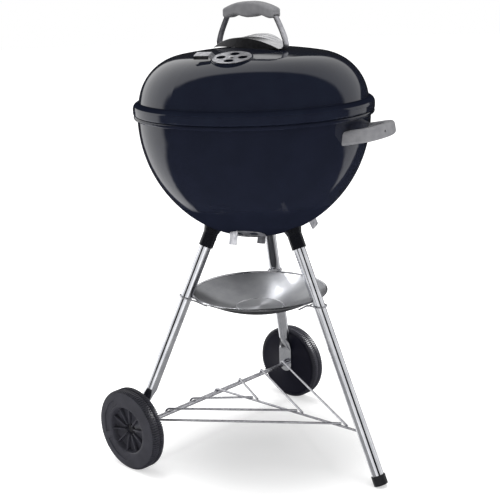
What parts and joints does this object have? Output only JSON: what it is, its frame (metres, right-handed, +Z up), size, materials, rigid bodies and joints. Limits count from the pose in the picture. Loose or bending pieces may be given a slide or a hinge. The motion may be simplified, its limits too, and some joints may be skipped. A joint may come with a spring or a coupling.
{
  "type": "kettle charcoal grill",
  "caption": "Round kettle charcoal grill with a domed lid, turning dampers, leg sockets, an ash pan on wire clips, a wire rack and a wheeled axle.",
  "frame": {"origin": "middle of the grill's footprint on the floor", "axes": "+Z up, X along the wheel axle, +Y from the wheels towards the front leg"},
  "size_m": [0.56, 0.5904, 0.9781],
  "materials": {
    "black_enamel": "gloss porcelain enamel",
    "leg_tube": "bright plated steel tube",
    "plated_wire": "plated steel wire",
    "bright_steel": "satin",
    "satin_aluminium": "satin",
    "grey_plastic": "glass-filled, fine grain",
    "black_plastic": "moulded, fine grain"
  },
  "bodies": {
    "stand": {"bowl_shell": "black_enamel", "leg_socket_front": "black_enamel", "leg_socket_left": "black_enamel", "leg_socket_right": "black_enamel", "leg_front": "leg_tube", "leg_left": "leg_tube", "leg_right": "leg_tube", "leg_snap_buttons": "bright_steel", "foot_cap": "black_plastic", "axle": "plated_wire", "axle_cap_right": "black_plastic", "axle_cap_left": "black_plastic", "ash_pan": "satin_aluminium", "pan_clip_front": "plated_wire", "pan_clip_left": "plated_wire", "pan_clip_right": "plated_wire", "rack_rod_center": "plated_wire", "rack_rod_right_inner": "plated_wire", "rack_rod_right_middle": "plated_wire", "rack_rod_right_outer": "plated_wire", "rack_rod_left_inner": "plated_wire", "rack_rod_left_middle": "plated_wire", "rack_rod_left_outer": "plated_wire", "bowl_handle": "grey_plastic", "bowl_handle_bolts": "bright_steel", "bowl_damper_rivets": "bright_steel", "cooking_grate_brackets": "bright_steel", "charcoal_grate_brackets": "bright_steel"},
    "charcoal_grate": {"charcoal_grate": "plated_wire"},
    "cooking_grate": {"cooking_grate": "plated_wire", "cooking_grate_handles": "plated_wire"},
    "lid": {"lid_shell": "black_enamel", "lid_handle_grip": "grey_plastic", "lid_handle_strap": "bright_steel", "lid_heat_shield": "bright_steel", "lid_handle_bolts": "bright_steel", "lid_handle_nuts": "bright_steel", "lid_damper_rivet": "bright_steel"},
    "lid_damper": {"lid_damper": "satin_aluminium"},
    "bowl_damper_right": {"bowl_damper_right": "satin_aluminium"},
    "bowl_damper_left": {"bowl_damper_left": "satin_aluminium"},
    "bowl_damper_rear": {"bowl_damper_rear": "satin_aluminium"},
    "wheel_right": {"wheel_right": "black_plastic"},
    "wheel_left": {"wheel_left": "black_plastic"}
  },
  "joints": [
    {"name": "charcoal_grate_lift", "type": "slide", "parent": "stand", "child": "charcoal_grate", "axis": [0, 0, 1], "range_m": [0, 0.2]},
    {"name": "cooking_grate_lift", "type": "slide", "parent": "charcoal_grate", "child": "cooking_grate", "axis": [0, 0, 1], "range_m": [0, 0.12]},
    {"name": "lid_lift", "type": "slide", "parent": "cooking_grate", "child": "lid", "axis": [0, 0, 1], "range_m": [0, 0.25]},
    {"name": "lid_damper_turn", "type": "hinge", "parent": "lid", "child": "lid_damper", "pos_m": [0.12836, 0.02151, 0.87576], "axis": [0.1944, 0.099, 0.9759], "range_deg": [0, 45]},
    {"name": "bowl_damper_right_turn", "type": "hinge", "parent": "stand", "child": "bowl_damper_right", "pos_m": [0.07967, 0.00211, 0.50942], "axis": [0.3434, 0.1983, -0.918], "range_deg": [0, 45]},
    {"name": "bowl_damper_left_turn", "type": "hinge", "parent": "stand", "child": "bowl_damper_left", "pos_m": [-0.07967, 0.00211, 0.50942], "axis": [-0.3434, 0.1983, -0.918], "range_deg": [0, 45]},
    {"name": "bowl_damper_rear_turn", "type": "hinge", "parent": "stand", "child": "bowl_damper_rear", "pos_m": [0, -0.13589, 0.50942], "axis": [0, -0.3966, -0.918], "range_deg": [0, 45]},
    {"name": "wheel_right_spin", "type": "hinge", "parent": "stand", "child": "wheel_right", "pos_m": [0.26253, -0.18767, 0.089], "axis": [1, 0, 0], "continuous": true},
    {"name": "wheel_left_spin", "type": "hinge", "parent": "stand", "child": "wheel_left", "pos_m": [-0.26253, -0.18767, 0.089], "axis": [1, 0, 0], "continuous": true}
  ]
}
